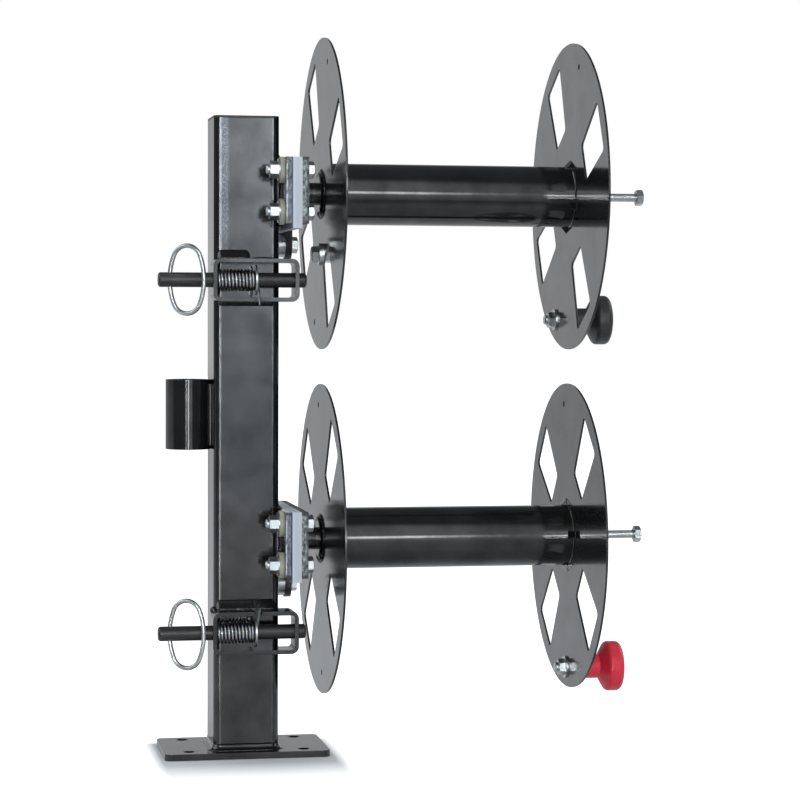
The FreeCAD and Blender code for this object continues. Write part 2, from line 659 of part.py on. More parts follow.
def make_latch_bracket(name, height, notch_side):
    """A slice of rectangular tube, open to the front, welded on the mast's face."""
    body = new_body(name + "_latch_bracket")
    left = "-bracket_left"
    right = "bracket_wide - bracket_left"
    half = "bracket_tall / 2"
    outside = plane_sketch(body, "XZ_Plane", out="mast_side / 2")
    add_rectangle(outside, left, right, "-" + half, half)
    pad(body, outside, "bracket_deep")
    dress(body, "Fillet", corner_edges(body.Shape, ALONG_Y), "Radius", "bracket_corner")
    inside = plane_sketch(body, "XZ_Plane", out="mast_side / 2")
    add_rectangle(inside, left + " + bracket_wall", right + " - bracket_wall",
                  "-%s + bracket_wall" % half, half + " - bracket_wall")
    pocket(body, inside, "bracket_deep", along_normal=True)
    dress(body, "Fillet", corner_edges(body.Shape, ALONG_Y), "Radius", "bracket_corner - bracket_wall")
    plunger_hole = plane_sketch(body, "YZ_Plane")
    add_circle(plunger_hole, "plunger_radius + plunger_clearance", "-plunger_y", "0")
    pocket_both_ways(body, plunger_hole)
    inner_face = "%s * (%s - bracket_wall)" % (notch_side, half)
    notch = plane_sketch(body, "XY_Plane", out=inner_face)
    front = "-mast_side / 2 - bracket_deep"
    back = "cross_pin_radius + notch_past - plunger_y"
    add_rectangle(notch, CROSS_PIN_X + " - notch_wide / 2", CROSS_PIN_X + " + notch_wide / 2",
                  front, back)
    pocket(body, notch, "bracket_wall", along_normal=(notch_side == "1"))
    keep(body, name + "_latch_bracket", height)


def make_plunger(name, height, pin_turn):
    left = "-plunger_left"
    right = "plunger_long - plunger_left"
    edge = "plunger_radius - plunger_chamfer"
    body = new_body(name + "_latch_pin")
    profile = plane_sketch(body, "XY_Plane", up="-plunger_y")
    add_outline(profile, [
        (left, "0"), (left, edge), (left + " + plunger_chamfer", "plunger_radius"),
        (right + " - plunger_chamfer", "plunger_radius"), (right, edge), (right, "0")])
    revolve(body, profile)
    ring_hole = doc.addObject("Part::Cylinder", "ring_hole")
    bind(ring_hole, "Radius", "ring_hole_radius")
    bind(ring_hole, "Height", "4 * plunger_radius")
    bind(ring_hole, "Placement.Base.x", "-ring_hole_left")
    bind(ring_hole, "Placement.Base.y", "-plunger_y")
    bind(ring_hole, "Placement.Base.z", "-2 * plunger_radius")
    pin_hole = cross_cylinder(pin_turn, "cross_pin_radius + pin_hole_clearance",
                              "plunger_radius + 1", "2 * plunger_radius + 2")
    keep(drilled(body, joined([ring_hole, pin_hole])), name + "_latch_pin", height)
    pin = cross_cylinder(pin_turn, "cross_pin_radius", "plunger_radius - 1",
                         "cross_pin_reach + plunger_radius - 1")
    keep(pin, name + "_cross_pin", height)


def cross_cylinder(pin_turn, radius, behind, length):
    """A cylinder across the plunger, starting behind its axis and leaning towards the front."""
    item = doc.addObject("Part::Cylinder", "across")
    item.Placement = FreeCAD.Placement(FreeCAD.Vector(), FreeCAD.Rotation(ALONG_X, 10))
    bind(item, "Placement.Rotation.Angle", pin_turn)
    bind(item, "Radius", radius)
    bind(item, "Height", length)
    bind(item, "Placement.Base.x", CROSS_PIN_X)
    bind(item, "Placement.Base.y", "-plunger_y + (%s) * sin(%s)" % (behind, pin_turn))
    bind(item, "Placement.Base.z", "-(%s) * cos(%s)" % (behind, pin_turn))
    whole = doc.addObject("Part::Compound", "across_pin")
    whole.Links = [item]
    return whole


def arc_from(start, tangent, end):
    """The arc that leaves start along tangent and ends at end."""
    chord = end - start
    along = chord.dot(tangent)
    sideways = chord - tangent * along
    rise = sideways.Length
    normal = sideways * (1 / rise)
    radius = chord.dot(chord) / (2 * rise)
    half_turn = math.atan2(rise, along)
    middle = start + normal * (radius * (1 - math.cos(half_turn))) + tangent * (radius * math.sin(half_turn))
    return Part.Arc(start, middle, end).toShape(), radius


def biarc(start, start_tangent, end, end_tangent):
    """Two arcs with one common tangent between two points with given tangents."""
    across = end - start
    both = start_tangent + end_tangent
    spread = 2 * (1 - start_tangent.dot(end_tangent))
    reach = (math.sqrt(across.dot(both) ** 2 + spread * across.dot(across)) - across.dot(both)) / spread
    middle = (start + end + (start_tangent - end_tangent) * reach) * 0.5
    first, first_radius = arc_from(start, start_tangent, middle)
    second, second_radius = arc_from(end, end_tangent * -1, middle)
    return [first, second], min(first_radius, second_radius)


def spring_path():
    """The spring wire's middle line: straight ends along X and a steady winding between them."""
    wire = 2 * size("spring_wire")
    radius = size("spring_radius")
    turns = size("spring_turns")
    start_x = size("bracket_wall") - size("bracket_left")
    end_x = start_x + size("spring_long")
    bend = size("spring_bend")
    climb = (end_x - start_x - 2 * (wire + bend)) / turns
    slope = math.atan2(climb, 2 * math.pi * radius)
    lead = bend / radius

    def winding(angle):
        x = start_x + wire + bend + climb * angle / (2 * math.pi)
        point = FreeCAD.Vector(x, radius * math.cos(angle), radius * math.sin(angle))
        tangent = FreeCAD.Vector(math.sin(slope), -math.cos(slope) * math.sin(angle),
                                 math.cos(slope) * math.cos(angle))
        return point, tangent

    def on_end(x, angle):
        return FreeCAD.Vector(x, radius * math.cos(angle), radius * math.sin(angle))

    last_angle = 2 * math.pi * turns
    entry = on_end(start_x + wire, -lead)
    leaving = on_end(end_x - wire, last_angle + lead)
    stations = [(entry, ALONG_X)]
    for quarter in range(int(round(4 * turns)) + 1):
        stations.append(winding(quarter * math.pi / 2 * turns / (round(4 * turns) / 4)))
    stations.append((leaving, ALONG_X))
    edges = [Part.makeLine(on_end(start_x, -lead), entry)]
    tightest = radius
    for (start, start_tangent), (end, end_tangent) in zip(stations, stations[1:]):
        pieces, tight = biarc(start, start_tangent, end, end_tangent)
        if edges[-1].Vertexes[-1].Point.distanceToPoint(pieces[0].Vertexes[0].Point) > 1e-6:
            pieces.reverse()
        edges += pieces
        tightest = min(tightest, tight)
    edges.append(Part.makeLine(leaving, on_end(end_x, last_angle + lead)))
    return edges, tightest


def make_spring(name, height):
    edges, tightest = spring_path()
    path = Part.Wire(Part.__sortEdges__(edges))
    start = edges[0].Vertexes[0].Point
    section = Part.Wire([Part.makeCircle(size("spring_wire"), start, ALONG_X)])
    solid = path.makePipeShell([section], True, False)
    spring = doc.addObject("Part::Feature", name + "_spring")
    spring.Shape = solid
    keep(spring, name + "_latch_spring", height)
    bind(spring, "Placement.Base.y", "-plunger_y")
    return path, solid, tightest


def print_spring(path, solid, tightest):
    """Print the wire's tightest bend, its length against its volume and its least gap to itself."""
    wire = size("spring_wire")
    points = path.discretize(Distance=0.5)
    spacing = path.Length / (len(points) - 1)
    apart = int(math.ceil(math.pi * 3 * wire / spacing)) + 2
    least = min(points[i].distanceToPoint(points[j])
                for i in range(len(points)) for j in range(i + apart, len(points)))
    print("spring tightest bend %.2f, wire radius %.2f" % (tightest, wire))
    print("spring volume %.1f, section by length %.1f" % (solid.Volume, math.pi * wire ** 2 * path.Length))
    print("spring least gap to itself %.2f" % (least - 2 * wire))


def make_latch_washer(name, height):
    washer = ring_x((LATCH_WASHER_X, "-plunger_y", "0"), "latch_washer_radius",
                    "plunger_radius + latch_washer_clearance", "latch_washer_thick")
    keep(washer, name + "_latch_washer", height)


def make_pull_ring(name, height):
    """An oval ring of round wire: four tangent arcs, turned forward about its upright strand."""
    tall = size("ring_half_tall")
    wide = size("ring_half_wide")
    end = size("ring_end_radius")
    side = (wide ** 2 + (tall - end) ** 2 - end ** 2) / (2 * (wide - end))
    meet = math.atan2(tall - end, side - wide)

    def at(out, up):
        return FreeCAD.Vector(out + wide, 0, up)

    def on_side(sign, angle):
        return at(sign * (side * math.cos(angle) - (side - wide)), side * math.sin(angle))

    arcs = [Part.Arc(on_side(-1, -meet), on_side(-1, 0), on_side(-1, meet)),
            Part.Arc(on_side(-1, meet), at(0, tall), on_side(1, meet)),
            Part.Arc(on_side(1, meet), on_side(1, 0), on_side(1, -meet)),
            Part.Arc(on_side(1, -meet), at(0, -tall), on_side(-1, -meet))]
    edges = [arc.toShape() for arc in arcs]
    path = Part.Wire(edges)
    start = edges[0].Vertexes[0].Point
    tangent = edges[0].tangentAt(edges[0].FirstParameter)
    section = Part.Wire([Part.makeCircle(size("ring_wire"), start, tangent)])
    ring = doc.addObject("Part::Feature", name + "_ring")
    ring.Shape = path.makePipeShell([section], True, False)
    print("ring volume %.1f, section by length %.1f"
          % (ring.Shape.Volume, math.pi * size("ring_wire") ** 2 * path.Length))
    keep(ring, name + "_pull_ring", height)
    bind(ring, "Placement.Base.x", "-ring_hole_left")
    bind(ring, "Placement.Base.y", "-plunger_y")
    ring.Placement = FreeCAD.Placement(FreeCAD.Vector(), FreeCAD.Rotation(ALONG_Z * -1, 1))
    bind(ring, "Placement.Rotation.Angle", "ring_turn")


def make_latch(name, height, notch_side, pin_turn):
    make_latch_bracket(name, height, notch_side)
    make_plunger(name, height, pin_turn)
    spring = make_spring(name, height)
    if name == "upper":
        print_spring(*spring)
    make_latch_washer(name, height)
    make_pull_ring(name, height)


def make_reel(name):
    height = name + "_axis"
    turn = name + "_turn"
    upper = name == "upper"
    make_plate_stack(name, height)
    make_stack_fasteners(name, height)
    make_terminal(name, height)
    make_spindle(name, height)
    make_hubs(name, height, turn)
    hub_hole = "hub_radius + running_clearance"
    screw_hole = "end_screw_radius + bolt_hole_clearance"
    make_flange(name + "_inner_flange", height, turn, INNER_FLANGE_X, hub_hole, False, upper)
    make_flange(name + "_outer_flange", height, turn, OUTER_FLANGE_X, screw_hole, True, False)
    make_drum(name, height, turn)
    make_end_screw(name, height, turn)
    make_crank(name, height, turn)
    if upper:
        make_lug_bolt(name, height, turn)
    # the upper latch has its cross pin and notch below, the lower latch has them above
    latch_height = height + " - latch_drop"
    if upper:
        make_latch(name, latch_height, "-1", "180 - cross_pin_lean")
    else:
        make_latch(name, latch_height, "1", "cross_pin_lean")


def check_and_write():
    doc.recompute()
    faults = [item.Name for item in doc.Objects
              if "Invalid" in item.State or "Error" in item.State]
    for item in finished:
        if item.Shape.isNull() or not item.Shape.isValid() or not item.Shape.Solids:
            faults.append(item.Label)
    if faults:
        raise RuntimeError("failed: " + ", ".join(faults))
    for item in finished:
        item.Shape.exportStep("parts/%s.step" % item.Label)
        box = item.Shape.BoundBox
        print("%-28s solids %d volume %10.1f  X %.1f..%.1f  Y %.1f..%.1f  Z %.1f..%.1f" % (
            item.Label, len(item.Shape.Solids), item.Shape.Volume, box.XMin, box.XMax,
            box.YMin, box.YMax, box.ZMin, box.ZMax))
    print(len(finished), "pieces")


make_base_plate()
make_mast()
make_mast_cap()
make_receiver_tube()
make_reel("upper")
make_reel("lower")
check_and_write()
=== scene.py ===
import bpy
import json
import math
import random
from mathutils import Matrix, Vector


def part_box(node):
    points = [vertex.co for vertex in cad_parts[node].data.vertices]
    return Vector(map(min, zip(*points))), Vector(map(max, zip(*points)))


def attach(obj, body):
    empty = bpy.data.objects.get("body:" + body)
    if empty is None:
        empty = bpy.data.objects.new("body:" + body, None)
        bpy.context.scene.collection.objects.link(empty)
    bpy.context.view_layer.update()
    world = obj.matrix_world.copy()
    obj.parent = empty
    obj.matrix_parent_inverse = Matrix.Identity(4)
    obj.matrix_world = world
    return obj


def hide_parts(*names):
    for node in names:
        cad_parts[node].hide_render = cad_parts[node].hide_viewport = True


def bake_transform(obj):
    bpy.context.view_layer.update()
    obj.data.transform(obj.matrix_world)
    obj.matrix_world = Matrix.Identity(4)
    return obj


# A pair of welding cable reels on a square mast. Metres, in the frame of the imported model.

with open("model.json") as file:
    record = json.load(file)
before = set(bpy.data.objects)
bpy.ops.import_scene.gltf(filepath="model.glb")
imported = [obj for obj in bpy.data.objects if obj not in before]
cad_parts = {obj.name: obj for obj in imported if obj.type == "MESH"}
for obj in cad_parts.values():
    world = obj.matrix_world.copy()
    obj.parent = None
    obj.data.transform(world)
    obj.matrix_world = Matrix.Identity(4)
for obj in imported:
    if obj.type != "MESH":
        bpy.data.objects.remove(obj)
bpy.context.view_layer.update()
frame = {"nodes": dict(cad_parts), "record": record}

MM = 0.001
SIDES = ("upper", "lower")


# Camera: the photograph's view, fitted to the object's corners

IMAGE_SIZE = 800
FOCAL_PIXELS = 2514.8
CAMERA_PLACE = Vector((-0.3036, -2.4491, 0.4330))
CAMERA_YAW = math.radians(10.646)
CAMERA_PITCH = math.radians(2.023)
CAMERA_ROLL = math.radians(0.197)


def make_camera():
    data = bpy.data.cameras.new("camera")
    data.sensor_width = 36
    data.lens = FOCAL_PIXELS * data.sensor_width / IMAGE_SIZE
    data.clip_start = 0.05
    data.clip_end = 60
    camera = bpy.data.objects.new("camera", data)
    bpy.context.collection.objects.link(camera)
    level = math.cos(CAMERA_PITCH)
    ahead = Vector((math.sin(CAMERA_YAW) * level, math.cos(CAMERA_YAW) * level, -math.sin(CAMERA_PITCH)))
    right = Vector((math.cos(CAMERA_YAW), -math.sin(CAMERA_YAW), 0))
    up = right.cross(ahead)
    rolled_right = right * math.cos(CAMERA_ROLL) + up * math.sin(CAMERA_ROLL)
    rolled_up = up * math.cos(CAMERA_ROLL) - right * math.sin(CAMERA_ROLL)
    turn = Matrix((rolled_right, rolled_up, -ahead)).transposed().to_4x4()
    camera.matrix_world = Matrix.Translation(CAMERA_PLACE) @ turn
    bpy.context.scene.camera = camera


# Light: a white backdrop, and a dim room with soft boxes that glossy surfaces mirror

AMBIENT_TINT = (0.93, 0.965, 1.0, 1)
AMBIENT = 0.55
ROOM = 0.13
NEUTRAL = (0.95, 0.98, 1.0, 1)
BLUE = (0.76, 0.89, 1.0, 1)

# Patches of the mirrored room. Each has its azimuth and its elevation in degrees, both given as the ends
# of a rise and of a fall, and then its strength. The azimuth is 0 towards the front, -Y, and grows
# towards +X; the elevation grows upwards.
AHEAD = ((4.6, 5.6), (8.6, 9.4))
LEFT_LINE = ((-16.4, -15.6), (-13.6, -12.8))
LEFT_BOX = ((-19, -17), (-12, -10))
PATCHES = (
    # low box that the mast's front mirrors
    (AHEAD, ((-40, -20), (-7, 1)), 0.72),
    # bright line along the drums, and the soft boxes round it
    (((8.6, 9.0), (10.2, 12.8)), ((-1, 4), (6.5, 11)), 9.5),
    (((8.4, 9.4), (15, 17)), ((-24, -2), (6, 12)), 0.85),
    (((8.4, 9.4), (12, 23)), ((6, 12), (40, 64)), 0.84),
    (((8.4, 9.4), (22, 30)), ((-60, -40), (-24, -2)), 0.14),
    # lights on the left that corners mirror, and the drums' ends by way of the outer flanges
    (LEFT_LINE, ((-1.2, 0.8), (2.6, 5.4)), 62),
    (LEFT_LINE, ((-9, -7.5), (-5.2, -3.9)), 38),
    (LEFT_BOX, ((-2, 2), (18, 26)), 4.5),
    (LEFT_BOX, ((-40, -16), (40, 64)), 1.2),
)
# The same on both sides of the object
SIDE_PATCHES = (
    (((40, 60), (120, 140)), ((14, 20), (50, 65)), 1.6),
    (((28, 50), (115, 135)), ((-50, -30), (-9, -4.5)), 0.7),
)
# A narrow strip that is brighter upwards, and a bluish box that is brighter on its left
EDGE_STRIP = (((-6.0, -5.2), (-1.2, -0.4)), ((-30, -12), (25, 40)))
EDGE_STRIP_LEVELS = (-9, 3, 2.6, 15)
HIGH_FRONT = (AHEAD, ((-7, 1), (30, 50)))
HIGH_FRONT_LEVELS = (5.6, 9.0, 2.35, 2.0)
# The backdrop behind the object, with one lighter side and a lighter low part
BACKDROP = 0.43
BACKDROP_ENDS = (0.7, 0.95)
BACKDROP_TOP = (0.32, 0.62)
LIGHT_SIDE = ((-170, -168), (-160, -150))
LIGHT_SIDE_MORE = 0.155
LIGHT_PART = (((-180, -176), (-173.2, -172.4)), ((-9.5, -6), (0, 5)))
LIGHT_PART_MORE = 0.30


class Network:
    """Short calls for building a node tree."""

    def __init__(self, owner):
        owner.use_nodes = True
        self.nodes = owner.node_tree.nodes
        self.links = owner.node_tree.links
        self.nodes.clear()

    def new(self, kind):
        return self.nodes.new(kind)

    def feed(self, value, socket):
        """Link an output, or write a constant."""
        if isinstance(value, bpy.types.NodeSocket):
            self.links.new(value, socket)
        else:
            socket.default_value = value

    def math(self, operation, *values):
        node = self.new("ShaderNodeMath")
        node.operation = operation
        for index, value in enumerate(values):
            self.feed(value, node.inputs[index])
        return node.outputs[0]

    def spread(self, value, start, end, low, high):
        """Carry a value from start..end to low..high, smoothly and without going past."""
        return self.ramped(value, start, end, low, high, "SMOOTHSTEP")

    def ramped(self, value, start, end, low, high, kind="LINEAR"):
        node = self.new("ShaderNodeMapRange")
        node.interpolation_type = kind
        self.feed(value, node.inputs["Value"])
        node.inputs["From Min"].default_value = start
        node.inputs["From Max"].default_value = end
        node.inputs["To Min"].default_value = low
        node.inputs["To Max"].default_value = high
        return node.outputs[0]

    def window(self, value, rise, fall):
        """One between two soft edges, each given as a pair, and zero outside them."""
        return self.math("MULTIPLY", self.spread(value, *rise, 0, 1), self.spread(value, *fall, 1, 0))

    def product(self, *values):
        result = values[0]
        for value in values[1:]:
            result = self.math("MULTIPLY", result, value)
        return result

    def total(self, *values):
        result = values[0]
        for value in values[1:]:
            result = self.math("ADD", result, value)
        return result

    def mix_colour(self, share, first, second):
        node = self.new("ShaderNodeMix")
        node.data_type = "RGBA"
        self.feed(share, node.inputs[0])
        self.feed(first, node.inputs[6])
        self.feed(second, node.inputs[7])
        return node.outputs[2]

    def mix_shader(self, share, first, second):
        node = self.new("ShaderNodeMixShader")
        self.feed(share, node.inputs[0])
        self.links.new(first, node.inputs[1])
        self.links.new(second, node.inputs[2])
        return node.outputs[0]

    def add_shader(self, first, second):
        node = self.new("ShaderNodeAddShader")
        self.links.new(first, node.inputs[0])
        self.links.new(second, node.inputs[1])
        return node.outputs[0]


def mirrored_room(net):
    """Strengths of the neutral and the bluish light that a glossy surface sees in each direction."""
    direction = net.new("ShaderNodeSeparateXYZ")
    net.links.new(net.new("ShaderNodeTexCoord").outputs["Generated"], direction.inputs[0])
    forward = net.math("MULTIPLY", direction.outputs["Y"], -1.0)
    azimuth = net.math("DEGREES", net.math("ARCTAN2", direction.outputs["X"], forward))
    elevation = net.math("DEGREES", net.math("ARCSINE", direction.outputs["Z"]))
    sideways = net.math("ABSOLUTE", azimuth)

    def patch(across, upright, strength, angle=azimuth):
        return net.product(net.window(angle, *across), net.window(elevation, *upright), strength)

    behind = net.spread(direction.outputs["Y"], *BACKDROP_ENDS, 0, 1)
    level = net.spread(net.math("ABSOLUTE", direction.outputs["Z"]), *BACKDROP_TOP, 1, 0)
    light_side = net.product(net.window(azimuth, *LIGHT_SIDE), LIGHT_SIDE_MORE)
    shade = net.total(BACKDROP, light_side, patch(*LIGHT_PART, LIGHT_PART_MORE))
    backdrop = net.product(behind, level, shade)
    edge_strip = patch(*EDGE_STRIP, net.spread(elevation, *EDGE_STRIP_LEVELS))
    high_front = patch(*HIGH_FRONT, net.spread(azimuth, *HIGH_FRONT_LEVELS))
    patches = [patch(*values) for values in PATCHES]
    patches += [patch(*values, angle=sideways) for values in SIDE_PATCHES]
    return net.total(ROOM, backdrop, edge_strip, *patches), high_front


def make_world():
    world = bpy.data.worlds.new("studio")
    bpy.context.scene.world = world
    net = Network(world)
    path = net.new("ShaderNodeLightPath")
    neutral, bluish = mirrored_room(net)

    def background(colour, strength):
        node = net.new("ShaderNodeBackground")
        node.inputs["Color"].default_value = colour
        net.feed(strength, node.inputs["Strength"])
        return node.outputs[0]

    ambient = background(AMBIENT_TINT, AMBIENT)
    mirrored = net.add_shader(background(NEUTRAL, neutral), background(BLUE, bluish))
    white = background((1, 1, 1, 1), 1.0)
    lit = net.mix_shader(path.outputs["Is Glossy Ray"], ambient, mirrored)
    direct = net.math("MAXIMUM", path.outputs["Is Camera Ray"], path.outputs["Is Transmission Ray"])
    net.links.new(net.mix_shader(direct, lit, white), net.new("ShaderNodeOutputWorld").inputs["Surface"])


FLOOR_COLOUR = (0.80, 0.80, 0.81, 1)
FLOOR_HALF = 14.0
GLOW_FAR = 0.85
SHADOW_REACH = (0.022, 0.132)
SHADOW_SIDE_SHARE = 0.12
FLOOR_SHARE_IN_GLOSS = 0.14
FLOOR_FRONT_IN_GLOSS = (-0.1, 0.05)
FLOOR_ENDS_IN_GLOSS = (0.5, 1.1)


def make_floor():
    """A white floor whose glow fades out near the base plate, which paints a drop shadow round the plate,
    longer in front than at the sides, over its real shadow; beyond it the floor glows.

    A glossy surface sees little of the glow, and in front of the object it sees more and more of the
    room through the floor.
    """
    half = FLOOR_HALF
    mesh = bpy.data.meshes.new("floor")
    corners = [(-half, -half, 0), (half, -half, 0), (half, half, 0), (-half, half, 0)]
    mesh.from_pydata(corners, [], [(0, 1, 2, 3)])
    floor = bpy.data.objects.new("floor", mesh)
    bpy.context.collection.objects.link(floor)
    paint = bpy.data.materials.new("floor_white")
    net = Network(paint)
    place = net.new("ShaderNodeSeparateXYZ")
    net.links.new(net.new("ShaderNodeTexCoord").outputs["Object"], place.inputs[0])
    plate_low, plate_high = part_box("base_plate")
    beside = net.math("SUBTRACT", net.math("ABSOLUTE", place.outputs["X"]), plate_high[0])
    before = net.math("SUBTRACT", plate_low[1], place.outputs["Y"])
    after = net.math("SUBTRACT", place.outputs["Y"], plate_high[1])
    beyond = []
    for way, share in ((beside, SHADOW_SIDE_SHARE), (before, 1), (after, SHADOW_SIDE_SHARE)):
        beyond.append(net.math("POWER", net.math("DIVIDE", net.math("MAXIMUM", way, 0.0), share), 2.0))
    distance = net.math("SQRT", net.total(*beyond))
    # Painted shadow: the glow is zero near the base plate and rises with the distance from it. At the
    # sides and behind, that distance counts about eight times over, so the grey stays mostly in front of
    # the plate.
    glow = net.new("ShaderNodeEmission")
    net.links.new(net.ramped(distance, *SHADOW_REACH, 0, GLOW_FAR), glow.inputs["Strength"])
    matte = net.new("ShaderNodeBsdfDiffuse")
    matte.inputs["Color"].default_value = FLOOR_COLOUR
    both = net.add_shader(matte.outputs[0], glow.outputs[0])
    path = net.new("ShaderNodeLightPath")
    glow_in_gloss = net.math("MULTIPLY", path.outputs["Is Glossy Ray"], FLOOR_SHARE_IN_GLOSS)
    direct = net.math("MAXIMUM", path.outputs["Is Camera Ray"], path.outputs["Is Transmission Ray"])
    shown = net.math("MAXIMUM", direct, glow_in_gloss)
    seen = net.mix_shader(shown, matte.outputs[0], both)
    forward = net.math("MULTIPLY", place.outputs["Y"], -1.0)
    ahead = net.product(net.spread(forward, *FLOOR_FRONT_IN_GLOSS, 0, 1),
                        net.spread(forward, *FLOOR_ENDS_IN_GLOSS, 0.5, 1))
    left_out = net.product(ahead, path.outputs["Is Glossy Ray"])
    clear = net.new("ShaderNodeBsdfTransparent").outputs[0]
    output = net.new("ShaderNodeOutputMaterial")
    net.links.new(net.mix_shader(left_out, seen, clear), output.inputs["Surface"])
    mesh.materials.append(paint)


LAMP_TINT = (0.90, 0.955, 1.0)


def make_lamp(name, place, target, width, height, radiance):
    """A soft lamp for matt surfaces; glossy ones mirror the room's own soft boxes."""
    data = bpy.data.lights.new(name, "AREA")
    data.shape = "RECTANGLE"
    data.size = width
    data.size_y = height
    data.energy = radiance * math.pi * width * height
    data.color = LAMP_TINT
    lamp = bpy.data.objects.new(name, data)
    bpy.context.collection.objects.link(lamp)
    lamp.location = place
    aim = Vector(target) - Vector(place)
    lamp.rotation_mode = "QUATERNION"
    lamp.rotation_quaternion = aim.to_track_quat("-Z", "Y")
    lamp.visible_glossy = False


def make_lamps():
    centre = (0.15, 0, 0.35)
    make_lamp("lamp_front", (0.62, -2.75, 1.30), centre, 1.7, 1.9, 1.9)
    make_lamp("lamp_left", (0.26, -2.6, 0.66), centre, 0.26, 1.2, 4.4)
    make_lamp("lamp_right", (1.02, -2.5, 0.66), centre, 0.18, 1.0, 5.0)
    make_lamp("lamp_over", (0.1, 0.2, 2.8), centre, 3.0, 2.4, 0.8)


# Materials: one for each finish of the record, all procedural

class Shader(Network):
    """A principled material with its own small network, in object coordinates."""

    def __init__(self, name):
        self.material = bpy.data.materials.new(name)
        super().__init__(self.material)
        output = self.new("ShaderNodeOutputMaterial")
        self.surface = self.new("ShaderNodeBsdfPrincipled")
        self.links.new(self.surface.outputs[0], output.inputs["Surface"])
        coordinates = self.new("ShaderNodeTexCoord")
        self.place = coordinates.outputs["Object"]
        split = self.new("ShaderNodeSeparateXYZ")
        self.links.new(self.place, split.inputs[0])
        self.x, self.y, self.z = split.outputs
        self.bevel = None

    def soften_edges(self, radius):
        """Let the shading round the sharp edges a little, as paint does."""
        node = self.new("ShaderNodeBevel")
        node.samples = 4
        node.inputs["Radius"].default_value = radius
        self.bevel = node.outputs["Normal"]

    def noise(self, scale, detail=3, stretch=None, roughness=0.5):
        source = self.place
        if stretch:
            mapping = self.new("ShaderNodeMapping")
            mapping.inputs["Scale"].default_value = stretch
            self.links.new(source, mapping.inputs["Vector"])
            source = mapping.outputs[0]
        texture = self.new("ShaderNodeTexNoise")
        texture.inputs["Scale"].default_value = scale
        texture.inputs["Detail"].default_value = detail
        texture.inputs["Roughness"].default_value = roughness
        self.links.new(source, texture.inputs["Vector"])
        return texture.outputs["Fac"]

    def ramp(self, value, stops):
        """Map a value through colours given as (position, colour)."""
        ramp = self.new("ShaderNodeValToRGB")
        elements = ramp.color_ramp.elements
        while len(elements) < len(stops):
            elements.new(0.5)
        for element, (position, colour) in zip(elements, stops):
            element.position = position
            element.color = (*colour, 1)
        self.links.new(value, ramp.inputs["Fac"])
        return ramp.outputs["Color"]

    def between(self, noise, low, high):
        """Carry the middle of a noise to low..high."""
        return self.ramped(noise, 0.3, 0.7, low, high)

    def bump(self, layers):
        """Stack bumps given as (height, strength, distance in metres)."""
        normal = self.bevel
        for height, strength, distance in layers:
            node = self.new("ShaderNodeBump")
            node.inputs["Strength"].default_value = strength
            node.inputs["Distance"].default_value = distance
            self.links.new(height, node.inputs["Height"])
            if normal is not None:
                self.links.new(normal, node.inputs["Normal"])
            normal = node.outputs["Normal"]
        self.links.new(normal, self.surface.inputs["Normal"])

    def set(self, **values):
        for name, value in values.items():
            socket = self.surface.inputs[name.replace("_", " ")]
            if isinstance(value, (int, float)):
                socket.default_value = value
            else:
                self.links.new(value, socket)


def grey(level, blue=0.0):
    return (level, level + blue * 0.4, level + blue)


ENAMEL_IOR = 1.7


def enamel(name, dark, light, sheen_low, sheen_high, ripple, marks=False):
    """Glossy black enamel over steel, cloudy and a little uneven, with faint dust."""
    shader = Shader(name)
    shader.soften_edges(0.9 * MM)
    cloud = shader.noise(9, 4)
    haze = shader.noise(27, 3, roughness=0.6)
    dust = shader.noise(420, 2)
    colour = shader.ramp(cloud, [(0.3, dark), (0.7, light)])
    sheen = shader.between(cloud, sheen_low, sheen_high)
    if marks:
        colour, sheen = add_marks(shader, colour, sheen)
    shader.set(Base_Color=colour, Roughness=sheen, IOR=ENAMEL_IOR,
               Specular_IOR_Level=shader.ramped(haze, 0.34, 0.66, 0.34, 0.60))
    shader.bump([(shader.noise(38, 2), ripple, 0.0012), (dust, 0.05, 0.0002)])
    return shader.material


PAINTED_STREAK_COLOUR = (0.17, 0.19, 0.22, 1)
PAINTED_GLINT_COLOUR = (0.42, 0.45, 0.50, 1)
PAINTED_EDGE_HIGHLIGHT = (0.80, 0.82, 0.88, 1)
STREAK_ACROSS = ((-0.0275, -0.0250), (-0.0195, -0.0165))
STREAK_RISES = (0.46, 0.53)
GLINT_INSET = 6.3 * MM


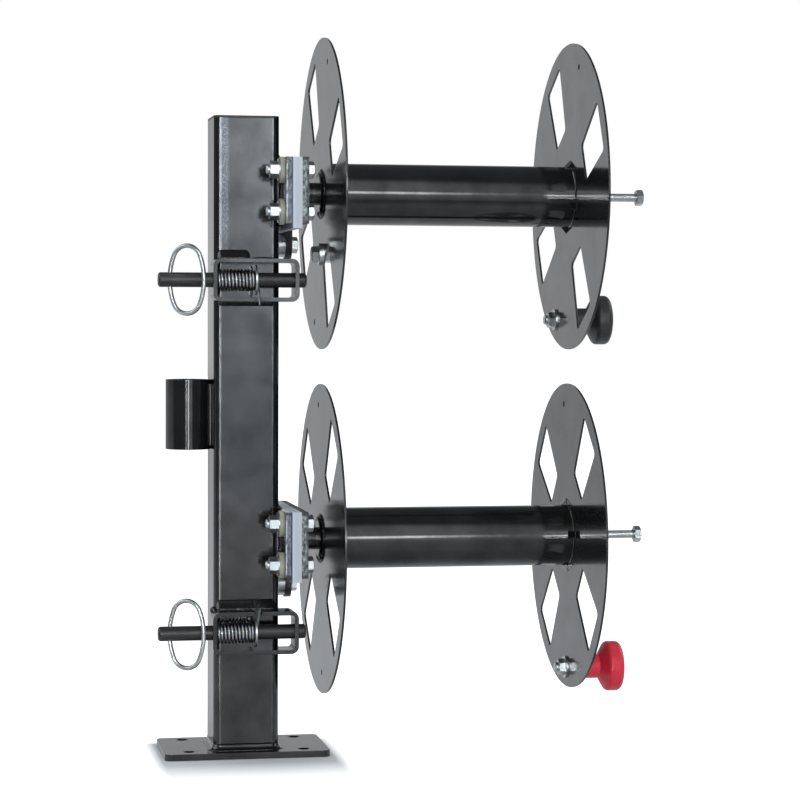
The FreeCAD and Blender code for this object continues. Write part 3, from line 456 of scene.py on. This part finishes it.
def add_marks(shader, colour, sheen):
    """On the mast a lighter speckled streak on rougher paint, which is a painted reflection, haze, and
    corner glints, which are painted highlights; on the backing plates rough cut edges with a painted
    highlight along their -X side.
    """
    half = Vector(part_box("mast")[1]).x
    across = shader.math("ABSOLUTE", shader.x)
    front = shader.window(shader.y, (-half - 0.3 * MM, -half - 0.2 * MM),
                          (-half + 0.5 * MM, -half + 1 * MM))
    # Painted reflection: a lighter speckled streak down the upper mast front stands in for a strip lamp
    # mirrored there. The paint in it is also rougher.
    streak_speckle = shader.ramped(shader.noise(620, 5, roughness=0.7), 0.36, 0.64, 0.35, 1)
    streak = shader.product(shader.window(shader.x, *STREAK_ACROSS), front,
                            shader.spread(shader.z, *STREAK_RISES, 0, 1), streak_speckle)
    # Painted highlights: a thin, patchy lighter line where each corner of the mast starts to round,
    # brighter upwards, stands in for the lamps' glint there.
    start = half - GLINT_INSET
    corner = shader.window(across, (start - 1 * MM, start - 0.6 * MM),
                           (start + 0.3 * MM, start + 0.6 * MM))
    patchy = shader.ramped(shader.noise(90, 3), 0.35, 0.6, 0.3, 1)
    painted_glint = shader.product(corner, front, shader.spread(shader.z, 0.25, 0.60, 0.12, 1), patchy)
    colour = shader.mix_colour(streak, colour, PAINTED_STREAK_COLOUR)
    colour = shader.mix_colour(painted_glint, colour, PAINTED_GLINT_COLOUR)
    plate_low, plate_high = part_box("upper_backing_plate")
    low, high = plate_low[0], plate_high[0]
    inside = shader.window(shader.x, (low + 0.3 * MM, low + 0.6 * MM), (high - 0.9 * MM, high - 0.6 * MM))
    at_front = shader.spread(shader.y, plate_low[1] + 0.3 * MM, plate_low[1] + 0.6 * MM, 1, 0)
    edge = shader.product(inside, at_front, plate_middle(shader))
    grain = shader.noise(560, 4, stretch=(1, 1, 0.4), roughness=0.65)
    rough = shader.ramp(grain, [(0.36, (0.03, 0.035, 0.045)), (0.64, (0.20, 0.24, 0.30))])
    # Painted highlight: towards its -X side the cut edge's specks turn near white, where the plate's
    # corner catches the light.
    lit = shader.product(shader.spread(shader.x, low + 0.9 * MM, low + 2.0 * MM, 1, 0),
                         shader.ramped(grain, 0.38, 0.55, 0.1, 1))
    rough = shader.mix_colour(lit, rough, PAINTED_EDGE_HIGHLIGHT)
    colour = shader.mix_colour(edge, colour, rough)
    on_mast = shader.spread(across, half, half + 1 * MM, 1, 0)
    sheen = shader.total(sheen, shader.product(edge, 0.4), shader.product(streak, 0.15),
                         shader.product(on_mast, 0.05))
    return colour, sheen


def plate_middle(shader):
    """One on a stack plate, and zero near its top and bottom ends."""
    near = None
    for side in SIDES:
        height = middle(side + "_spindle").z
        away = shader.math("ABSOLUTE", shader.math("SUBTRACT", shader.z, height))
        near = away if near is None else shader.math("MINIMUM", near, away)
    return shader.spread(near, 28.0 * MM, 29.5 * MM, 1, 0)


def make_plate_dark():
    """Rough rolled plate under thin paint: pitted, with bright specks on its cut edge, which is lighter
    towards its -X side as a painted highlight.
    """
    shader = Shader("plate_dark")
    shader.soften_edges(0.8 * MM)
    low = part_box("upper_bearing_plate")[0]
    pits = shader.noise(430, 5, stretch=(1, 1, 0.45), roughness=0.7)
    patches = shader.noise(70, 3)
    plain = shader.ramp(pits, [(0.35, (0.02, 0.02, 0.022)), (0.68, (0.10, 0.105, 0.11))])
    specks = shader.ramp(pits, [(0.38, (0.03, 0.035, 0.035)), (0.52, (0.22, 0.25, 0.25)),
                                (0.62, (0.52, 0.58, 0.57))])
    # Painted highlight: the specks show in full on the -X part of the cut edge and fade to a third of
    # that beyond it.
    edge = shader.product(shader.ramped(shader.x, low[0] + 3.6 * MM, low[0] + 5.2 * MM, 1, 0.3),
                          shader.spread(shader.y, low[1] + 0.3 * MM, low[1] + 0.6 * MM, 1, 0),
                          plate_middle(shader))
    shader.set(Base_Color=shader.mix_colour(edge, plain, specks),
               Roughness=shader.between(patches, 0.35, 0.6), Metallic=0.2)
    shader.bump([(pits, 0.7, 0.0008), (patches, 0.3, 0.001)])
    return shader.material


def make_zinc():
    """Zinc plate with a blue and straw tint and fine rubbed marks."""
    shader = Shader("zinc")
    tint = shader.noise(140, 3)
    rubbed = shader.noise(700, 3, stretch=(0.25, 1, 1))
    shader.set(Base_Color=shader.ramp(tint, [(0.3, (0.47, 0.52, 0.57)), (0.55, (0.55, 0.57, 0.57)),
                                             (0.75, (0.60, 0.58, 0.50))]),
               Metallic=1.0, Roughness=shader.between(rubbed, 0.26, 0.40))
    shader.bump([(rubbed, 0.05, 0.0001)])
    return shader.material


def make_spindle_steel():
    shader = Shader("spindle_steel")
    rings = shader.noise(700, 2, stretch=(1, 0.05, 0.05))
    shader.set(Base_Color=shader.ramp(rings, [(0.3, grey(0.03)), (0.7, grey(0.10))]),
               Metallic=0.8, Roughness=shader.between(rings, 0.12, 0.22))
    shader.bump([(rings, 0.15, 0.0002)])
    return shader.material


def make_insulator():
    """Satin laminated sheet, paler at its pressed faces, with a faint woven layer."""
    shader = Shader("insulator")
    low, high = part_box("upper_insulator_plate")
    fibre = shader.noise(600, 3, stretch=(3, 1, 1))
    depth = shader.ramped(shader.x, low[0], high[0], 0, 1)
    layers = shader.ramp(depth, [(0.0, (0.25, 0.27, 0.32)), (0.04, (0.12, 0.12, 0.26)),
                                 (0.08, (0.76, 0.79, 0.87)), (0.3, (0.62, 0.67, 0.76)),
                                 (0.72, (0.62, 0.67, 0.76)), (0.82, (0.72, 0.75, 0.75)),
                                 (1.0, (0.58, 0.62, 0.64))])
    shader.set(Base_Color=layers, Roughness=shader.between(fibre, 0.42, 0.58))
    shader.bump([(fibre, 0.15, 0.0002)])
    return shader.material


def make_insulator_pale():
    shader = Shader("insulator_pale")
    cloud = shader.noise(160, 3)
    shader.set(Base_Color=shader.ramp(cloud, [(0.3, (0.36, 0.37, 0.29)), (0.7, (0.48, 0.48, 0.38))]),
               Roughness=shader.between(cloud, 0.5, 0.7))
    shader.bump([(cloud, 0.2, 0.0003)])
    return shader.material


def moulded(name, dark, light, low, high):
    """Satin moulded plastic with a fine texture."""
    shader = Shader(name)
    grain = shader.noise(1500, 2)
    cloud = shader.noise(45, 3)
    shader.set(Base_Color=shader.ramp(cloud, [(0.3, dark), (0.7, light)]),
               Roughness=shader.between(cloud, low, high))
    shader.bump([(grain, 0.12, 0.0002)])
    return shader.material


def make_pin_dark():
    """Blackened steel plunger with fine lengthwise scuffs."""
    shader = Shader("pin_dark")
    scuffs = shader.noise(300, 4, stretch=(0.06, 1, 1))
    shader.set(Base_Color=shader.ramp(scuffs, [(0.35, grey(0.028)), (0.62, grey(0.05)),
                                               (0.75, grey(0.13))]),
               Metallic=0.35, Roughness=shader.between(scuffs, 0.33, 0.5))
    shader.bump([(scuffs, 0.2, 0.0003)])
    return shader.material


def make_materials():
    return {
        "painted_steel_black": enamel("painted_steel_black", grey(0.005, 0.0005), grey(0.009, 0.001),
                                      0.07, 0.12, 0.07, marks=True),
        "flange_grey": enamel("flange_grey", grey(0.007, 0.001), grey(0.012, 0.001), 0.10, 0.16, 0.04),
        "latch_black": enamel("latch_black", grey(0.008), grey(0.016), 0.12, 0.22, 0.15),
        "plate_dark": make_plate_dark(),
        "zinc": make_zinc(),
        "spindle_steel": make_spindle_steel(),
        "insulator": make_insulator(),
        "insulator_pale": make_insulator_pale(),
        "cap_black": moulded("cap_black", grey(0.012), grey(0.02), 0.4, 0.5),
        "knob_black": moulded("knob_black", grey(0.022, 0.002), grey(0.032, 0.003), 0.34, 0.44),
        "knob_red": moulded("knob_red", (0.68, 0.022, 0.045), (0.80, 0.035, 0.062), 0.30, 0.40),
        "pin_dark": make_pin_dark(),
    }


def dress_nodes(materials):
    slots = {part["node"]: part["material_slot"] for part in frame["record"]["subparts"]}
    for node, obj in frame["nodes"].items():
        obj.data.materials.clear()
        obj.data.materials.append(materials[slots[node]])


# Pieces made here

WIRE_SIDES = 12
SCALE_STEPS = 5
BEAD_RIPPLE = 0.16
BEAD_UNEVEN = 0.07
BEAD_SWAY = 0.06
FILLET_ARC = 8
FILLET_ROOT = 0.4 * MM
HAND_PITCH = 3.6 * MM
RING_STEPS = 36
LUMP_UNEVEN = 0.035
THREAD_HEIGHT = 0.20 * MM
THREAD_ROOT = 0.06 * MM
THREAD_SIDES = 24


def add_piece(name, vertices, faces, slot, body, materials):
    mesh = bpy.data.meshes.new(name)
    mesh.from_pydata([tuple(v) for v in vertices], [], faces)
    mesh.validate()
    mesh.shade_smooth()
    mesh.materials.append(materials[slot])
    piece = bpy.data.objects.new(name, mesh)
    bpy.context.collection.objects.link(piece)
    if body:
        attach(piece, body)
    return piece


def tube_faces(rows, around, closed=False):
    """Faces of a tube of rows of points: joined end to end, or capped at both ends."""
    faces = []
    for row in range(rows if closed else rows - 1):
        following = (row + 1) % rows
        for side in range(around):
            beside = (side + 1) % around
            faces.append((row * around + side, row * around + beside,
                          following * around + beside, following * around + side))
    if not closed:
        faces.append(tuple(reversed(range(around))))
        faces.append(tuple((rows - 1) * around + side for side in range(around)))
    return faces


def swept(centres, frames, radii):
    """Vertices and faces of a wire: one ring at each centre, spanned by its two side directions."""
    vertices = []
    for centre, (across, along), radius in zip(centres, frames, radii):
        for side in range(WIRE_SIDES):
            angle = 2 * math.pi * side / WIRE_SIDES
            vertices.append(centre + (across * math.cos(angle) + along * math.sin(angle)) * radius)
    return vertices, tube_faces(len(centres), WIRE_SIDES)


def weld_bead(name, path, radius, pitch, body, materials, seed):
    """A rippled weld bead along a path of points, sampled evenly."""
    dice = random.Random(seed)
    step = pitch / SCALE_STEPS
    points = []
    carried = 0.0
    for start, end in zip(path, path[1:]):
        span = (end - start).length
        while carried < span:
            points.append(start.lerp(end, carried / span))
            carried += step
        carried -= span
    centres, frames, radii = [], [], []
    total = len(points)
    wobble = [dice.uniform(-1, 1) for _ in range(total // SCALE_STEPS + 2)]
    for index, point in enumerate(points):
        before = points[max(index - 1, 0)]
        after = points[min(index + 1, total - 1)]
        tangent = (after - before).normalized()
        helper = Vector((0, 0, 1)) if abs(tangent.z) < 0.9 else Vector((1, 0, 0))
        across = tangent.cross(helper).normalized()
        phase = (index % SCALE_STEPS) / SCALE_STEPS
        uneven = wobble[index // SCALE_STEPS]
        centres.append(point + across * radius * BEAD_SWAY * uneven)
        frames.append((across, tangent.cross(across).normalized()))
        radii.append(radius * (1 - BEAD_RIPPLE * phase + BEAD_UNEVEN * uneven))
    vertices, faces = swept(centres, frames, radii)
    return add_piece(name, vertices, faces, "painted_steel_black", body, materials)


def rounded_rectangle(half_x, half_y, corner, height, steps=6):
    """Points round a rectangle with round corners, each with its outward direction."""
    places = []
    for sign_x, sign_y, start in ((1, 1, 0), (-1, 1, 90), (-1, -1, 180), (1, -1, 270)):
        for step in range(steps + 1):
            angle = math.radians(start + 90 * step / steps)
            outward = Vector((math.cos(angle), math.sin(angle), 0))
            centre = Vector((sign_x * (half_x - corner), sign_y * (half_y - corner), height))
            places.append((centre + outward * corner, outward))
    return places


def evenly(points, sides, step, closed):
    """Points at even steps along a path, with the two side directions turned from one to the next."""
    places = []
    carried = 0.0
    count = len(points)
    for index in range(count if closed else count - 1):
        following = (index + 1) % count
        span = (points[following] - points[index]).length
        while carried < span:
            share = carried / span
            pairs = zip(sides[index], sides[following])
            turned = [one.lerp(other, share).normalized() for one, other in pairs]
            places.append((points[index].lerp(points[following], share), turned))
            carried += step
        carried -= span
    return places


def weld_fillet(name, points, sides, legs, pitch, body, materials, seed, closed=False, bulge=0.2,
                uneven=0.06, slot="painted_steel_black"):
    """A rippled weld in the angle between two faces.

    The points run along the angle; the sides are the two directions that lead from it along the faces.
    """
    dice = random.Random(seed)
    places = evenly(points, sides, pitch / SCALE_STEPS, closed)
    total = len(places)
    wobble = [dice.uniform(-1, 1) for _ in range(total // SCALE_STEPS + 2)]
    vertices = []
    for index, (point, (first, second)) in enumerate(places):
        phase = (index % SCALE_STEPS) / SCALE_STEPS
        swell = 1 + uneven * (0.9 - 1.8 * phase) + uneven * 0.8 * wobble[index // SCALE_STEPS]
        if not closed:
            from_end = min(index, total - 1 - index) / SCALE_STEPS
            swell *= math.sin(math.pi / 2 * min(1.0, 0.35 + 0.65 * from_end))
        outward = (first + second).normalized() * bulge * min(legs)
        vertices.append(point - (first + second) * FILLET_ROOT)
        for part in range(FILLET_ARC + 1):
            share = part / FILLET_ARC
            flat = first * legs[0] * (1 - share) + second * legs[1] * share
            vertices.append(point + (flat + outward * math.sin(math.pi * share)) * swell)
    faces = tube_faces(total, FILLET_ARC + 2, closed)
    return add_piece(name, vertices, faces, slot, body, materials)


def straight_fillet(name, start, end, first, second, legs, body, materials, **more):
    side = (Vector(first), Vector(second))
    points = [Vector(start), Vector(end)]
    return weld_fillet(name, points, [side, side], legs, HAND_PITCH, body, materials, **more)


def ring_fillet(name, centre_x, axis_z, radius, along, legs, pitch, body, materials, **more):
    """A weld round a bar along X, where it meets a plate; it leads away from the plate by along."""
    points, sides = [], []
    for step in range(RING_STEPS):
        angle = 2 * math.pi * step / RING_STEPS
        outward = Vector((0, math.cos(angle), math.sin(angle)))
        points.append(Vector((centre_x, 0, axis_z)) + outward * radius)
        sides.append((outward, Vector((along, 0, 0))))
    return weld_fillet(name, points, sides, legs, pitch, body, materials, closed=True, **more)


def weld_lump(name, centre, axes, radii, body, materials, seed):
    """A lump of weld metal: a rounded body with a slightly uneven skin."""
    dice = random.Random(seed)
    rows, around = 10, 16
    vertices, faces = [], []
    for row in range(1, rows):
        for side in range(around):
            tilt = math.pi * row / rows
            turn = 2 * math.pi * side / around
            parts = (math.cos(tilt), math.sin(tilt) * math.cos(turn), math.sin(tilt) * math.sin(turn))
            size = 1 + dice.uniform(-LUMP_UNEVEN, LUMP_UNEVEN)
            vertices.append(centre + sum((axis * radius * part * size
                                          for axis, radius, part in zip(axes, radii, parts)), Vector()))
    for row in range(rows - 2):
        for side in range(around):
            beside = (side + 1) % around
            faces.append((row * around + side, (row + 1) * around + side,
                          (row + 1) * around + beside, row * around + beside))
    top, bottom = len(vertices), len(vertices) + 1
    vertices += [centre + axes[0] * radii[0], centre - axes[0] * radii[0]]
    last = (rows - 2) * around
    for side in range(around):
        beside = (side + 1) % around
        faces.append((top, side, beside))
        faces.append((bottom, last + beside, last + side))
    return add_piece(name, vertices, faces, "painted_steel_black", body, materials)


def thread(name, start_x, end_x, centre_y, centre_z, radius, pitch, body, materials):
    """A screw thread along X, standing a little proud of its plain shank."""
    rows = int((end_x - start_x) / pitch * 4) + 1
    vertices = []
    for row in range(rows + 1):
        for side in range(THREAD_SIDES):
            turn = side / THREAD_SIDES
            x = start_x + (end_x - start_x) * row / rows
            wave = ((x - start_x) / pitch + turn) % 1.0
            crest = 1 - abs(2 * wave - 1)
            edge = min(1.0, row / 2, (rows - row) / 2)
            reach = radius + THREAD_HEIGHT * (crest * edge) - THREAD_ROOT * (1 - edge)
            angle = 2 * math.pi * turn
            vertices.append(Vector((x, centre_y + reach * math.cos(angle),
                                    centre_z + reach * math.sin(angle))))
    faces = tube_faces(rows + 1, THREAD_SIDES)
    return add_piece(name, vertices, faces, "zinc", body, materials)


def middle(node):
    low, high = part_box(node)
    return (Vector(low) + Vector(high)) / 2


SPRING_WIRE = 1.0 * MM
SPRING_RADIUS = 9.5 * MM
SPRING_TURNS = 11.0
STEPS_PER_TURN = 28


def latch_spring(side, materials):
    """Compression spring with closed ends, stretched between the bracket and the washer."""
    node = side + "_latch_spring"
    washer_low = Vector(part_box(side + "_latch_washer")[0])
    pin = middle(side + "_latch_pin")
    spring_low = Vector(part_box(node)[0])
    start = spring_low.x + SPRING_WIRE
    end = washer_low.x - SPRING_WIRE
    closed_rise = 2.15 * SPRING_WIRE
    rise = (end - start - 2 * closed_rise) / (SPRING_TURNS - 2)
    total = int(SPRING_TURNS * STEPS_PER_TURN)
    centres, frames, radii = [], [], []
    for step in range(total + 1):
        turn = SPRING_TURNS * step / total
        if turn < 1:
            x = start + closed_rise * turn
        elif turn > SPRING_TURNS - 1:
            x = end - closed_rise * (SPRING_TURNS - turn)
        else:
            x = start + closed_rise + rise * (turn - 1)
        angle = 2 * math.pi * turn
        outward = Vector((0, math.cos(angle), math.sin(angle)))
        centres.append(Vector((x, pin.y, pin.z)) + outward * SPRING_RADIUS)
        frames.append((outward, Vector((1, 0, 0))))
        radii.append(SPRING_WIRE)
    vertices, faces = swept(centres, frames, radii)
    spring = add_piece(side + "_spring_wire", vertices, faces, "zinc", None, materials)
    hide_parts(node)
    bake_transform(spring)


UP = (0, 0, 1)
DOWN = (0, 0, -1)
FRONT = (0, -1, 0)
RIGHT = (1, 0, 0)
MAST_CORNER = 6.5 * MM
SPINDLE_ROOT = 11 * MM


def make_stand_welds(materials):
    base_high = Vector(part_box("base_plate")[1])
    half = Vector(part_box("mast")[1]).x
    foot = rounded_rectangle(half, half, MAST_CORNER, base_high.z)
    weld_fillet("mast_foot_weld", [point for point, outward in foot],
                [(outward, Vector(UP)) for point, outward in foot], (5.4 * MM, 6.4 * MM), 4.4 * MM,
                "stand", materials, closed=True, bulge=-0.3, uneven=0.02, seed=3)
    tube_low, tube_high = map(Vector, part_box("receiver_tube"))
    for sign in (-1, 1):
        x = -half - 1.2 * MM
        y = sign * 9.6 * MM
        weld_bead("receiver_weld_%s" % ("front" if sign < 0 else "back"),
                  [Vector((x, y, tube_low.z + 4 * MM)), Vector((x, y, tube_high.z - 4 * MM))],
                  2.9 * MM, HAND_PITCH, "stand", materials, seed=5 + sign)
    flat = half - MAST_CORNER
    for side in SIDES:
        plate_low, plate_high = map(Vector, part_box(side + "_backing_plate"))
        for place, z, away in (("top", plate_high.z, UP), ("under", plate_low.z, DOWN)):
            straight_fillet("%s_plate_weld_%s" % (side, place), (half, -flat - 2 * MM, z),
                            (half, flat + 2 * MM, z), away, RIGHT, (5.0 * MM, 4.6 * MM),
                            "stand", materials, bulge=-0.1, seed=11)
        for sign in (-1, 1):
            x = half - 1.3 * MM
            y = sign * (half - 1.4 * MM)
            weld_bead("%s_plate_weld_%s" % (side, "front" if sign < 0 else "back"),
                      [Vector((x, y, plate_low.z + 3 * MM)), Vector((x, y, plate_high.z - 3 * MM))],
                      2.2 * MM, 3.4 * MM, "stand", materials, seed=13)
        spindle_low = Vector(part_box(side + "_spindle")[0])
        axis = middle(side + "_spindle")
        ring_fillet(side + "_spindle_weld", spindle_low.x, axis.z, SPINDLE_ROOT, 1, (3.4 * MM, 3.0 * MM),
                    3.2 * MM, "stand", materials, seed=19)
    make_bracket_welds(materials, half)


LOWER_TOP_LEG = 9.2


def make_bracket_welds(materials, half):
    """Each bracket is welded to the mast's front face over and under it, by hand and unevenly."""
    face = -half
    upper_low, upper_high = map(Vector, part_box("upper_latch_bracket"))
    lower_low, lower_high = map(Vector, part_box("lower_latch_bracket"))
    # name, start and end across the face in mm, height, way, legs in mm, bulge, unevenness
    runs = [
        ("upper_bracket_weld_top", -29, 3, upper_high.z, UP, (8.8, 6.8), 0.10, 0.02),
        ("upper_bracket_weld_right", 5, 26, upper_high.z, UP, (1.8, 1.8), 0.1, 0.1),
        ("upper_bracket_weld_under", -28, 28, upper_low.z, DOWN, (4.2, 4.4), 0.05, 0.08),
        ("lower_bracket_weld_top", -30, 29, lower_high.z, UP, (LOWER_TOP_LEG, 6.4), -0.06, 0.012),
        ("lower_bracket_weld_under", -26, 26, lower_low.z, DOWN, (2.4, 2.6), 0.1, 0.08),
    ]
    for seed, (name, start, end, z, away, legs, bulge, uneven) in enumerate(runs, start=31):
        straight_fillet(name, (start * MM, face, z), (end * MM, face, z), away, FRONT,
                        (legs[0] * MM, legs[1] * MM), "stand", materials,
                        bulge=bulge, uneven=uneven, seed=seed)
    above = lower_high.z + LOWER_TOP_LEG * MM
    weld_bead("lower_bracket_weld_edge", [Vector((-30 * MM, face, above)), Vector((6 * MM, face, above))],
              0.6 * MM, 4.5 * MM, "stand", materials, seed=43)
    dice = random.Random(44)
    spatter = [Vector(((7 + 2.2 * step) * MM, face, above + (1.1 * step + dice.uniform(-1.3, 1.3)) * MM))
               for step in range(9)]
    weld_bead("lower_bracket_weld_end", spatter, 0.95 * MM, 2.6 * MM, "stand", materials, seed=45)
    axes = (Vector(RIGHT), Vector(FRONT), Vector(UP))
    corner = Vector((-half - 0.5 * MM, face - 0.5 * MM, lower_high.z - 1 * MM))
    weld_lump("lower_bracket_weld_lump", corner, axes, (3.4 * MM, 3.4 * MM, 4.0 * MM), "stand", materials,
              seed=41)


HUB_RADIUS = 18 * MM
DRUM_RADIUS = 30.1 * MM


def make_reel_welds(materials):
    for side in SIDES:
        body = side + "_reel"
        inner_low, inner_high = map(Vector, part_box(side + "_inner_flange"))
        outer_low = Vector(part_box(side + "_outer_flange")[0])
        axis_z = middle(side + "_spindle").z
        ring_fillet(side + "_hub_weld", inner_low.x, axis_z, HUB_RADIUS, -1, (6.4 * MM, 2.9 * MM),
                    5.2 * MM, body, materials, bulge=0.35, uneven=0.09, slot="flange_grey", seed=23)
        for end, x, away in (("inner", inner_high.x, 1), ("outer", outer_low.x, -1)):
            ring_fillet("%s_%s_seam" % (side, end), x, axis_z, DRUM_RADIUS, away, (1.0 * MM, 1.1 * MM),
                        5.0 * MM, body, materials, bulge=-0.1, uneven=0.08, slot="latch_black", seed=27)


BOLT_THREAD = (4.72 * MM, 1.6 * MM)
SCREW_THREAD = (3.95 * MM, 1.41 * MM)
BOLT_POINT = 0.9 * MM
INTO_NUT = 0.5 * MM
TERMINAL_END = 3.4 * MM
SCREW_HEAD = 6.5 * MM
SCREW_RUN_OUT = 1.5 * MM
STACK_BOLT_PLACES = ((-60, -20), (-60, 20), (60, -20), (60, 20))


def make_threads(materials):
    for side in SIDES:
        bolts_low = Vector(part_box(side + "_plate_bolts")[0])
        nuts_low = Vector(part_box(side + "_plate_nuts")[0])
        axis = middle(side + "_spindle")
        for number, (y, z) in enumerate(STACK_BOLT_PLACES, start=1):
            thread("%s_plate_bolt_thread_%d" % (side, number), bolts_low.x + BOLT_POINT,
                   nuts_low.x + INTO_NUT, y * MM, axis.z + z * MM, *BOLT_THREAD, "stand", materials)
        terminal_low = Vector(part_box(side + "_terminal_bolt")[0])
        terminal = middle(side + "_terminal_bolt")
        thread(side + "_terminal_thread", terminal_low.x + BOLT_POINT, terminal_low.x + TERMINAL_END,
               terminal.y, terminal.z, *BOLT_THREAD, "stand", materials)
        screw_high = Vector(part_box(side + "_end_screw")[1])
        nut_high = Vector(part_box(side + "_end_nut")[1])
        thread(side + "_end_screw_thread", nut_high.x - INTO_NUT,
               screw_high.x - SCREW_HEAD - SCREW_RUN_OUT, 0, axis.z, *SCREW_THREAD,
               side + "_reel", materials)
        knob_low = Vector(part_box(side + "_knob_bolt")[0])
        knob = middle(side + "_knob_bolt")
        knob_nut_low = Vector(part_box(side + "_knob_nut")[0])
        thread(side + "_knob_bolt_thread", knob_low.x + BOLT_POINT, knob_nut_low.x + INTO_NUT,
               knob.y, knob.z, *BOLT_THREAD, side + "_reel", materials)


def main():
    make_camera()
    make_world()
    make_floor()
    make_lamps()
    bpy.context.scene.view_settings.view_transform = "Standard"
    materials = make_materials()
    dress_nodes(materials)
    for side in SIDES:
        latch_spring(side, materials)
    make_stand_welds(materials)
    make_reel_welds(materials)
    make_threads(materials)


main()
